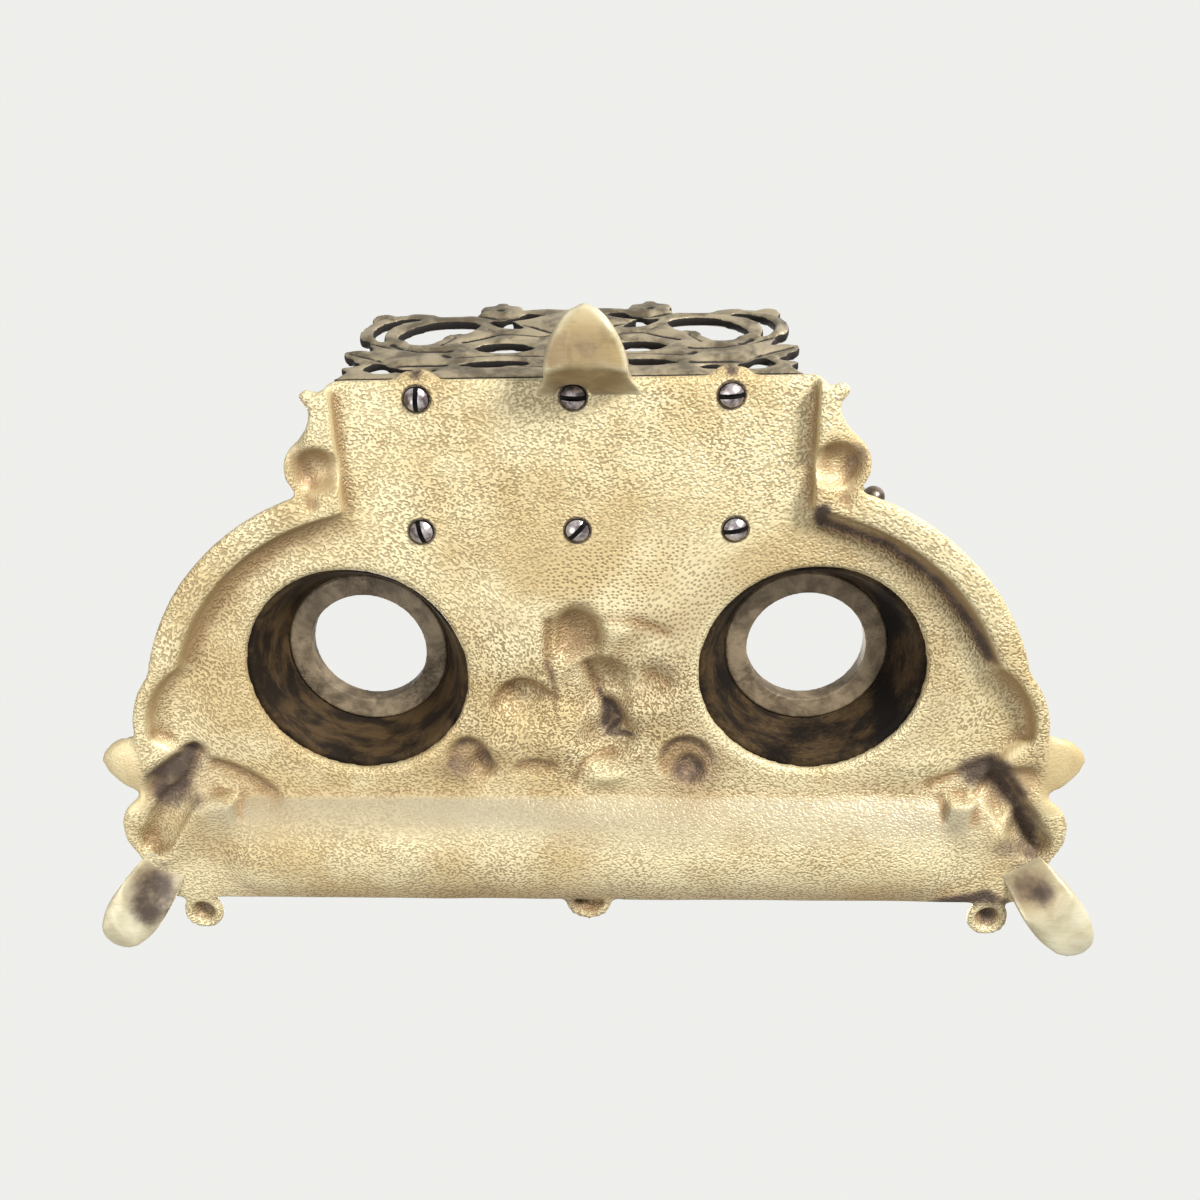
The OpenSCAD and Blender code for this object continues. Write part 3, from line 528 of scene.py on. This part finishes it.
baseLook = {
    "voxel": 0.00105,
    "ornament": (0, -8, 44, 32),
    "corners": (122, -42, 18, 24),
    "bowls": (
        (17.5, -12.5, 9.5, 9.5, 0, 2.6, 0.12, -90), (35, -30, 6.5, 8, 0, 3.0, 0.2, -80),
        (-30, -30, 8, 8.5, 0, 2.8, 0.16, -110), (1, 8.5, 7.2, 12.5, 0, 2.2, 0.26, -90),
        (-12, 3, 7, 12, 35, 1.3, 0.8, -60), (-9, -18, 4, 7, -12, 3.0, 0.3, -90),
        (15, -33, 7, 4, 0, 1.6, 0.25, -90), (123, -33, 11, 6, -40, 3.0, 0.25, -90),
        (105, -37, 13, 4.5, 32, 2.2, 0.3, -90), (-123, -40, 7, 13, 35, 2.6, 0.22, 200)),
    # soft lumps toward the table, as spots in mm
    "lumps": (
        (2, -5, 3.2, 7, 0, -2.6), (-11, 14, 5, 4, 30, -1.2), (-22, -10, 6, 5, 0, -1.4),
        (8, -24, 5, 4, 0, -1.4), (-6, -34, 6, 3, 0, -2.2), (24, -24, 4, 3, 0, -1.0),
        (-125, -46, 2.6, 8, 25, -2.4), (-98, -30, 9, 3, -10, -0.8), (128, -51, 4.5, 9, 25, -3.0),
        (121, -44, 6, 5, 0, -1.4)),
    # narrow creases, as strokes in mm
    "creases": (
        (archEdge, 1.2, 1.6), (((-1, 1), (-4, -8), (-6, -14)), 1.4, 1.4),
        (archBrow, 1.6, 0.5), (((4, -37), (0, -29), (-8, -28)), 1.2, 1.2),
        (coveRight, 2.0, 1.3), (((129, -40), (127, -30), (118, -24)), 1.5, 1.2),
        (((-102, -37), (-120, -29), (-129, -46), (-135, -57)), 1.8, 1.4),
        (((72, 80), (74, 66), (71, 54)), 2.6, 1.8), (((-72, 80), (-74, 66), (-71, 54)), 2.6, 1.8)),
    "swell": (0.0004, 55),
    # where each mask begins and is full, in mm
    "edges": {
        "trayRear": (40.5, 42.5), "traySide": (-124, -108), "worn": (59, 47), "trayFrontShade": (64, 78),
        "frontDirt": (79, 83), "coveLow": (7.6, 8.8), "coveHigh": (-12.6, -10.8), "coveFront": -38,
        "leaf": (131.5, 134), "leafFront": -44, "wellStain": (-47, -40), "notchLow": 13.5},
    # dark spots in mm: dirt, and painted shadow in the tray's corner folds and the ornament's hollows
    "grimeAndShade": (
        (122, -36, 7, 4, -40, 0.4), (126, -32, 6, 4, -40, 0.25), (-117, -30, 5, 4, 0, 0.4),
        (-8, -18, 5, 7, 0, 0.3), (2, 7, 4, 4, 0, 0.25), (-31, -34, 8, 7, 0, 0.5), (36.5, -33, 7, 5, 0, 0.4),
        (-121, -34, 6, 4, 20, 0.3), (118, -41, 6.5, 3.5, 10, 0.4), (-8, -19, 8, 7, 0, 0.2),
        (122, -82, 3.2, 3.6, 0, 0.35), (-123, -82, 2.6, 3.8, 10, 0.75), (-117, -75, 8, 2.5, 5, 0.45),
        (3, -76.8, 6, 4.5, 0, 0.45), (132, -62, 4, 4, 0, 0.35), (-129, -63, 4, 3, 0, 0.3),
        (-97, -16, 5, 9, 30, 0.14), (-107, 12, 3, 10, 25, 0.14), (104, -24, 9, 3, 30, 0.2),
        (74, 66, 4, 10, 0, 0.25), (-74, 66, 4, 10, 0, 0.35), (-66, 49, 4, 5, 0, 0.4)),
    # dark strokes in mm: dirt and cracks, and painted shadow along the corner folds and the right cove
    "sootAndShadow": (
        (((-105, -76), (-114, -74.5), (-121, -72), (-127, -76), (-130, -79)), 2.2, 0.55),
        (((-114, -33), (-121, -31), (-129, -45), (-134, -57)), 4.8, 0.66),
        (((-124, -55), (-133, -58)), 3.6, 0.5), (((129, -42), (128, -32), (120, -27)), 4.6, 0.6),
        (((119, -26), (113, -29)), 2.0, 0.35),
        (((-65, 51), (-66, 46), *coveRight[1:]), 1.7, 0.7),
        (((10, 3), (8, -9)), 1.0, 0.4), (((-4, -9), (-7, -14), (-6, -20)), 0.8, 0.6),
        (((-8, -13), (-11, -18), (-6, -23), (-14, -22)), 0.8, 0.6),
        (((5, -27), (2, -31), (1, -36)), 0.7, 0.35),
        (((-24, -25), (-31, -22), (-38, -28)), 2.2, 0.3), (((-28, -34), (-31, -29), (-34, -33)), 1.4, 0.25),
        (((41, -31), (35, -22), (28, -31)), 1.8, 0.3), (((14, 2), (10, 1), (12, 5)), 0.7, 0.3)),
    # tan spots in mm; those over the ornament's and corners' hollows are partly painted shade
    "tan": (
        (1.5, 9, 7.5, 11, 0, 1.0), (35, -31, 9, 6.5, 0, 1.1), (-31, -32, 9, 9, 0, 1.3),
        (-9, 4, 5, 15, 32, 0.65), (-20, -4, 8, 7, 0, 0.55), (14, -32, 7, 4, 0, 0.7),
        (-7, -16, 9, 9, 0, 0.65), (-10, -29, 10, 3, 0, 0.5), (-98, -38, 18, 3, 0, 0.5),
        (105, -37, 14, 5, 32, 0.5), (75, 66, 6, 14, 0, 0.45), (-75, 66, 6, 14, 0, 0.3),
        (21, 18, 9, 5, 20, 0.35), (-24, 15, 10, 5, -10, 0.35), (-2, 80, 16, 4, 0, 0.3),
        (123, -34, 12, 8, -40, 0.5),
        (119, -56, 9, 6, 0, 0.25), (-122, -40, 11, 14, 30, 0.4), (30, 20, 12, 6, 30, 0.2)),
    "tanLines": (
        (((63, 45), (80, 41), (96, 30), (109, 15), (113, 6)), 3.0, 0.6),
        (((126, -1), (132, -15)), 2.6, 0.5), (coveRight, 2.2, 0.8),
        (((-119, 1), (-128, -10), (-130, -27)), 2.6, 0.5), (((27, -10), (18, -3), (9, -8)), 2.0, 0.7),
        (archEdge, 1.8, 0.7), (archBrow, 2.4, 0.45)),
    "notches": ((41, 87.2, 1.8, 2.2, 0, 1.0), (-41, 87.2, 1.8, 2.2, 0, 1.0)),
    "dimples": ((-24, 30, 26, 15, 0, 1.1), (0, 30, 15, 9, 0, 0.8), (-22, 13, 16, 10, 0, 0.6)),
}


def makeBase():
    mesh = castCopy("base_casting", "castBase", "raw_cast_brass", "stand", baseLook["voxel"], 3).data
    x, y, _ = plan(points(mesh))
    ornament = ovalArea(x, y, baseLook["ornament"], 0.85)
    corner = ovalArea(np.abs(x), y, baseLook["corners"], 0.7)
    relax(mesh, 8, 0.5 * np.maximum(ornament, 0.8 * corner))
    places = points(mesh)
    depth = bowls(x, y, baseLook["bowls"]) + spots(x, y, baseLook["lumps"])
    places[:, 2] += (depth + strokes(x, y, baseLook["creases"])) * 0.001
    height, scale = baseLook["swell"]
    places[:, 2] += height * cloud(places, scale, 1) * (places[:, 2] > 0.0045)
    setPoints(mesh, places)
    relax(mesh, 1)
    paintBase(mesh)


def paintBase(mesh):
    # masks that the brass reads; smoothness below 0 makes the grain coarser
    places = points(mesh)
    normal = facing(mesh)
    deep = hollows(mesh, 12)
    x, y, z = plan(places)
    below = smoothstep(-normal[:, 2], -0.2, 0.3)
    edges = baseLook["edges"]
    tray = smoothstep(-y, *edges["trayRear"]) * smoothstep(-np.abs(x), *edges["traySide"])
    ragged = y + 4 * cloud(places * (0.35, 1, 1), 45, 5)
    streaks = 0.78 + 0.35 * cloud(places * (0.2, 2.2, 1), 80, 6)
    pale = tray * smoothstep(-ragged, *edges["worn"]) * streaks * below
    cove = smoothstep(z, *edges["coveLow"]) * smoothstep(-z, *edges["coveHigh"]) * (y > edges["coveFront"])
    leaf = smoothstep(np.abs(x), *edges["leaf"]) * (y > edges["leafFront"])
    ornament = ovalArea(x, y, baseLook["ornament"], 0.7) * below
    smooth = pale * 0.9 + cove * 0.9 + leaf + 0.85 * (1 - below) - 0.5 * ornament
    paint(mesh, "pale", pale)
    paint(mesh, "smoothness", np.clip(smooth, -0.5, 1))
    paint(mesh, "dimples", np.clip(spots(x, y, baseLook["dimples"]), 0, 1) * below)

    tan = spots(x, y, baseLook["tan"]) + strokes(x, y, baseLook["tanLines"]) + 0.3 * cove
    fromWell = np.hypot(np.abs(x) - layout["wells"][0][0], y)
    tan += (0.04 + 0.16 * (x < 0)) * smoothstep(-fromWell, *edges["wellStain"])
    tan += 0.22 * cloud(places, 28, 8)
    # painted shade: the front of the tray's bulge is darker tan
    tan += 0.7 * tray * smoothstep(-y, *edges["trayFrontShade"])
    # painted shade: slopes of the underside that face the front are darker tan
    tan += 0.25 * smoothstep(-normal[:, 1], 0.2, 0.9) * below
    tan = tan * (0.25 + 0.75 * below) + 0.22 * (1 - below)
    # painted shade in the hollows, and a lighter tone on the ridges that is partly wear and partly painted
    # highlight
    tan += 0.9 * smoothstep(deep, 0.03, 0.4) - 0.6 * smoothstep(-deep, 0.05, 0.5)
    paint(mesh, "tan", np.clip(tan, 0, 1))

    grimeAndShade = spots(x, y, baseLook["grimeAndShade"]) + strokes(x, y, baseLook["sootAndShadow"])
    grimeAndShade *= 0.9 + 0.5 * cloud(places, 190, 9)
    grimeAndShade += 0.3 * tray * smoothstep(-y, *edges["frontDirt"]) * smoothstep(cloud(places, 60, 10), -0.2, 0.3)
    # painted shade in the deeper hollows
    grimeAndShade = np.clip(grimeAndShade, 0, 1) * below + 0.3 * smoothstep(deep, 0.3, 0.8)
    paint(mesh, "grimeAndShade", grimeAndShade + 0.8 * spots(x, y, baseLook["notches"]) * (z > edges["notchLow"]))


makeBase()
print("base casting made")


footLook = {
    "voxel": 0.0005,
    # spots in mm: the hollow toward the wall, dark spots, tan; the dark spots beside the rear foot are
    # painted shadow
    "foot_rear": {
        "hollow": (),
        "grimeAndShade": (
            (-4.5, 96, 6, 5, 0, 0.36), (-11, 87, 4, 6, 0, 0.3), (4, 86, 5, 3, 0, 0.35),
            (-1, 99, 3, 3, 0, 0.12)),
        "tan": ((-4, 92, 17, 17, 0, 1.3),)},
    "foot_front_left": {
        "hollow": ((-136.5, -71, 3.6, 5, 28, 1.0),),
        "grimeAndShade": (
            (-137, -69.5, 3, 4, 28, 0.55), (-131.5, -68, 5.5, 7, 28, 0.55), (-141, -75, 4, 6, 28, 0.1)),
        "tan": ((-132, -69, 9, 11, 28, 0.9),)},
    "foot_front_right": {
        "hollow": ((135, -73.5, 6, 8.8, -20, 3.4),),
        "grimeAndShade": (
            (135, -71.3, 7, 7.8, -20, 0.95), (137, -78.5, 5, 5.5, -20, 0.55),
            (135.5, -73.5, 3.2, 4.4, -20, -0.45)),
        "tan": ((134, -66, 9, 7, 0, 0.7),)},
}


def makeFoot(nodeName, pieceName):
    look = footLook[nodeName]
    mesh = castCopy(nodeName, pieceName, "polished_foot_brass", "stand", footLook["voxel"], 8).data
    places = points(mesh)
    under = smoothstep(-facing(mesh)[:, 2], 0.0, 0.5)
    x, y, _ = plan(places)
    places[:, 2] += 0.001 * under * spots(x, y, look["hollow"])
    setPoints(mesh, places)
    relax(mesh, 1)
    deep = hollows(mesh, 20)
    darkSpots = spots(x, y, look["grimeAndShade"]) * under
    # the dark spots, and painted shade in the hollows
    paint(mesh, "grimeAndShade", np.clip(darkSpots + 0.3 * smoothstep(deep, 0.1, 0.5), 0, 1))
    # ridges keep less tan: wear, and partly a painted highlight
    rubbed = 0.75 * smoothstep(-deep, 0.04, 0.3)
    paint(mesh, "tan", np.clip(spots(x, y, look["tan"]), 0, 1) * (1 - rubbed))


makeFoot("foot_rear", "leafFootRear")
makeFoot("foot_front_left", "leafFootFrontLeft")
makeFoot("foot_front_right", "leafFootFrontRight")
print("feet made")


# node, piece, slot, body, voxel, relaxing passes
smallCastings = (
    ("well_pot_left", "inkPotLeft", "dark_pot_bronze", "stand", 0.00055, 2),
    ("well_pot_right", "inkPotRight", "dark_pot_bronze", "stand", 0.00055, 2),
    ("well_collar_left", "collarRingLeft", "collar_bronze", "stand", 0.00045, 2),
    ("well_collar_right", "collarRingRight", "collar_bronze", "stand", 0.00045, 2),
    ("hinge_lug_left", "hingeLugLeft", "collar_bronze", "stand", 0.00025, 2),
    ("hinge_lug_right", "hingeLugRight", "collar_bronze", "stand", 0.00025, 2),
    ("hinge_pin_left", "hingePinLeft", "screw_steel", "stand", 0.0002, 1),
    ("hinge_pin_right", "hingePinRight", "screw_steel", "stand", 0.0002, 1),
    ("lid_left", "inkLidLeft", "lid_bronze", "lid_left", 0.0005, 2),
    ("lid_right", "inkLidRight", "lid_bronze", "lid_right", 0.0005, 2),
    ("lid_knob_left", "knobLeft", "knob_bronze", "lid_left", 0.0002, 3),
    ("lid_knob_right", "knobRight", "knob_bronze", "lid_right", 0.0002, 3),
    ("rack_rear_panel", "rackRear", "rack_bronze", "stand", 0.00055, 10),
    ("rack_front_panel", "rackFront", "rack_bronze", "stand", 0.00055, 10),
    ("rear_panel_screws", "rearScrews", "screw_steel", "stand", 0.0002, 2),
    ("front_panel_screws", "frontScrews", "screw_steel", "stand", 0.0002, 2),
)

screwLook = {
    "rows": {"rearScrews": 0, "frontScrews": 1},
    # degrees, then mm from the slot's middle line and from the head's middle
    "slotTurns": ((86, 92, 4), (78, 45, -14)),
    "slotEdge": (0.77, 0.52),
    "rimEdge": (2.9, 3.4),
    "reach": 4,
}

rackLook = {
    # the middle, line and height of the outer face's foot, its lean, its side and the panel's height
    "rackRear": (2.0, 85.5, 18.0, 11.0, 1, 50.0),
    "rackFront": (0.0, 39.9, 18.0, 3.0, -1, 36.0),
    # creases and swells of the leaves as strokes and spots, on a half 62 wide and as high as this
    "field": 50,
    "creases": (
        (((56, 24), (49, 20), (42, 17), (33, 18)), 1.2, 0.9), (((52, 12), (47, 8), (33, 8)), 1.1, 0.8),
        (((30, 24), (20, 29), (9, 27), (2, 30)), 1.2, 0.9), (((21, 38), (14, 36), (6, 30)), 1.1, 0.8),
        (((31, 13), (18, 14), (2, 13)), 1.2, 0.7), (((28, 43), (22, 41), (16, 43)), 1.1, 0.8),
        (((60, 30), (60, 38), (57, 43), (50, 45)), 1.3, 0.6), (((61, 17), (54, 13), (50, 10)), 1.0, 0.7),
        (((34, 32), (33, 27), (36, 22)), 1.0, 0.6), (((47, 20), (50, 23)), 1.9, 1.1),
        (((34, 15), (33, 14)), 1.7, 1.0), (((22, 46.5), (22.2, 46.6)), 1.9, 1.2),
        (((24, 33), (16, 24), (8, 25)), 0.9, 0.5), (((12, 7), (2, 6)), 1.1, 0.6)),
    "swells": (
        (44, 17, 6, 3, 20, 0.5), (15, 27, 8, 2.4, 10, 0.5), (8, 38, 5, 4, 0, 0.5), (58, 26, 3, 6, 0, 0.4),
        (26, 44, 6, 2, -10, 0.4), (40, 11, 8, 2, 0, 0.4), (20, 12, 8, 1.5, 0, 0.4)),
}


def paintScrews(mesh, row):
    # the slots hold dirt; the dark rims of the heads are painted shadow of the gap round each head
    x, y, _ = plan(points(mesh))
    pitch, line = layout["screwRows"][row]
    grimeAndShade = np.zeros_like(x)
    for side, turn in zip((-1, 0, 1), screwLook["slotTurns"][row]):
        dx, dy = x - side * pitch, y - line
        across = dx * math.cos(math.radians(turn)) + dy * math.sin(math.radians(turn))
        far = np.hypot(dx, dy)
        slot = smoothstep(np.abs(across), *screwLook["slotEdge"])
        dirtAndShade = np.maximum(slot, smoothstep(far, *screwLook["rimEdge"]))
        grimeAndShade = np.maximum(grimeAndShade, np.where(far < screwLook["reach"], dirtAndShade, 0))
    paint(mesh, "grimeAndShade", grimeAndShade)


def shapeRack(mesh, name):
    # leaves in low relief, dark crust on the walls of the piercings, and painted shade in the hollows and
    # along the panel's foot
    middle, line, foot, lean, side, height = rackLook[name]
    normal = facing(mesh)
    places = points(mesh)
    outer = np.array((0, side * math.cos(math.radians(lean)), -math.sin(math.radians(lean))))
    upward = np.array((0, side * math.sin(math.radians(lean)), math.cos(math.radians(lean))))
    shift = places - np.array((middle / 1000, line / 1000 + wellLine, foot / 1000))
    u = np.abs(shift[:, 0]) * 1000
    up = (shift @ upward) * 1000 * rackLook["field"] / height
    facingOut = normal @ outer
    relief = spots(u, up, rackLook["swells"]) - strokes(u, up, rackLook["creases"])
    relief *= smoothstep(up, 1.5, 4)
    places += outer * (relief * facingOut * smoothstep(np.abs(facingOut), 0.3, 0.8))[:, None] * 0.001
    setPoints(mesh, places)
    relax(mesh, 2)
    grimeAndShade = 0.8 * smoothstep(-np.abs(facingOut), -0.75, -0.35)
    # painted shade: the hollows and the panel's foot are darkened
    grimeAndShade += 0.6 * smoothstep(hollows(mesh, 8), 0.02, 0.25)
    grimeAndShade += 0.25 * smoothstep(-up, -9, -2) + 0.4 * strokes(u, up, rackLook["creases"])
    paint(mesh, "grimeAndShade", np.clip(grimeAndShade, 0, 1))


def darkenCasting(mesh, pieceName, slotName):
    # dirt and painted shade in the hollows and, except on the lids, dirt in clouds; the photo's right pot
    # is the darker one
    dirtAndShade = 0.6 * smoothstep(hollows(mesh, 8), 0.02, 0.3)
    if slotName != "lid_bronze":
        dirtAndShade += 0.35 * smoothstep(cloud(points(mesh), 75, 4), -0.2, 0.7)
    if pieceName == "inkPotLeft":
        dirtAndShade += 0.3
    paint(mesh, "grimeAndShade", np.clip(dirtAndShade, 0, 1))


for nodeName, pieceName, slotName, body, voxel, passes in smallCastings:
    mesh = castCopy(nodeName, pieceName, slotName, body, voxel, passes).data
    if pieceName in screwLook["rows"]:
        paintScrews(mesh, screwLook["rows"][pieceName])
    elif pieceName in rackLook:
        shapeRack(mesh, pieceName)
    else:
        darkenCasting(mesh, pieceName, slotName)
print("small castings made")


stageLook = {
    "pale": (0.86, 0.86, 0.84),
    "grey": (0.84, 0.84, 0.82),
    "ambient": 0.16,
    "floorSize": 6.0,
    "floorDrop": 0.0003,
    # metres from the middle at which the floor begins to fade and is gone
    "fade": (0.25, 0.75),
}


def makeFloor():
    work = bmesh.new()
    bmesh.ops.create_grid(work, x_segments=4, y_segments=4, size=stageLook["floorSize"] / 2)
    bmesh.ops.translate(work, verts=work.verts, vec=(0, 0, -stageLook["floorDrop"]))
    mesh = bpy.data.meshes.new("floor")
    work.to_mesh(mesh)
    work.free()
    floor = bpy.data.objects.new("floor", mesh)
    scene.collection.objects.link(floor)
    material = bpy.data.materials.new("paleFloor")
    material.use_nodes = True
    tree = material.node_tree
    tree.nodes.clear()
    diffuse = addNode(tree, "ShaderNodeBsdfDiffuse")
    clouds = noiseNode(tree, addNode(tree, "ShaderNodeTexCoord").outputs["Object"], 3.0, 2)
    tone = mixColor(tree, clouds, stageLook["pale"], stageLook["grey"])
    tree.links.new(tone, diffuse.inputs["Color"])
    clear = addNode(tree, "ShaderNodeBsdfTransparent")
    path = addNode(tree, "ShaderNodeLightPath")
    # the floor shows from above only, so that the underside can be looked at and lit
    front = mathNode(tree, "SUBTRACT", 1.0, addNode(tree, "ShaderNodeNewGeometry").outputs["Backfacing"])
    far = addNode(tree, "ShaderNodeVectorMath", operation="LENGTH")
    tree.links.new(addNode(tree, "ShaderNodeTexCoord").outputs["Object"], far.inputs[0])
    near = spread(tree, far.outputs["Value"], *stageLook["fade"], 1.0, 0.0)
    seen = mathNode(tree, "MULTIPLY", path.outputs["Is Camera Ray"], front)
    seen = mathNode(tree, "MULTIPLY", seen, near)
    mix = addNode(tree, "ShaderNodeMixShader")
    tree.links.new(seen, mix.inputs[0])
    tree.links.new(clear.outputs[0], mix.inputs[1])
    tree.links.new(diffuse.outputs[0], mix.inputs[2])
    output = addNode(tree, "ShaderNodeOutputMaterial")
    tree.links.new(mix.outputs[0], output.inputs["Surface"])
    mesh.materials.append(material)


def makeWorld():
    world = bpy.data.worlds.new("studio")
    scene.world = world
    world.use_nodes = True
    tree = world.node_tree
    tree.nodes.clear()
    path = addNode(tree, "ShaderNodeLightPath")
    seen = mathNode(tree, "MAXIMUM", path.outputs["Is Camera Ray"], path.outputs["Is Glossy Ray"])
    seen = mathNode(tree, "MAXIMUM", seen, path.outputs["Is Transmission Ray"])
    level = mathNode(tree, "MULTIPLY_ADD", seen, 1.0 - stageLook["ambient"], stageLook["ambient"])
    background = addNode(tree, "ShaderNodeBackground")
    background.inputs["Color"].default_value = (*stageLook["pale"], 1)
    tree.links.new(level, background.inputs["Strength"])
    output = addNode(tree, "ShaderNodeOutputWorld")
    tree.links.new(background.outputs[0], output.inputs["Surface"])


lamps = (
    # name, place, aim, size, watts
    ("keyBelow", (-0.46, 0.56, -0.36), (0.0, 0.0, 0.01), 0.22, 11.5),
    ("fillBelow", (0.45, -0.05, -0.65), (0.0, 0.0, 0.01), 0.7, 4.2),
    ("keyAbove", (0.45, -0.55, 0.80), (0.0, 0.0, 0.03), 0.6, 8.0),
    ("fillAbove", (-0.70, 0.50, 0.60), (0.0, 0.0, 0.03), 0.9, 3.6),
)


def makeLamps():
    for name, place, aim, size, watts in lamps:
        data = bpy.data.lights.new(name, "AREA")
        data.shape = "DISK"
        data.size = size
        data.energy = watts
        lamp = bpy.data.objects.new(name, data)
        lamp.location = place
        lamp.rotation_euler = (Vector(aim) - Vector(place)).to_track_quat("-Z", "Y").to_euler()
        scene.collection.objects.link(lamp)


cameraLook = {
    "place": (-0.02061, 0.14609, -0.28033),
    "turn": (156.0759, -2.3235, -178.6527),
    "lens": 34.5,
}


def makeCamera():
    data = bpy.data.cameras.new("camera")
    data.lens = cameraLook["lens"]
    data.sensor_width = 36.0
    data.clip_start = 0.01
    data.clip_end = 20.0
    camera = bpy.data.objects.new("camera", data)
    camera.location = cameraLook["place"]
    camera.rotation_euler = Euler([math.radians(a) for a in cameraLook["turn"]])
    scene.collection.objects.link(camera)
    scene.camera = camera


makeFloor()
makeWorld()
makeLamps()
makeCamera()
scene.view_settings.view_transform = "Standard"
print("stage made")
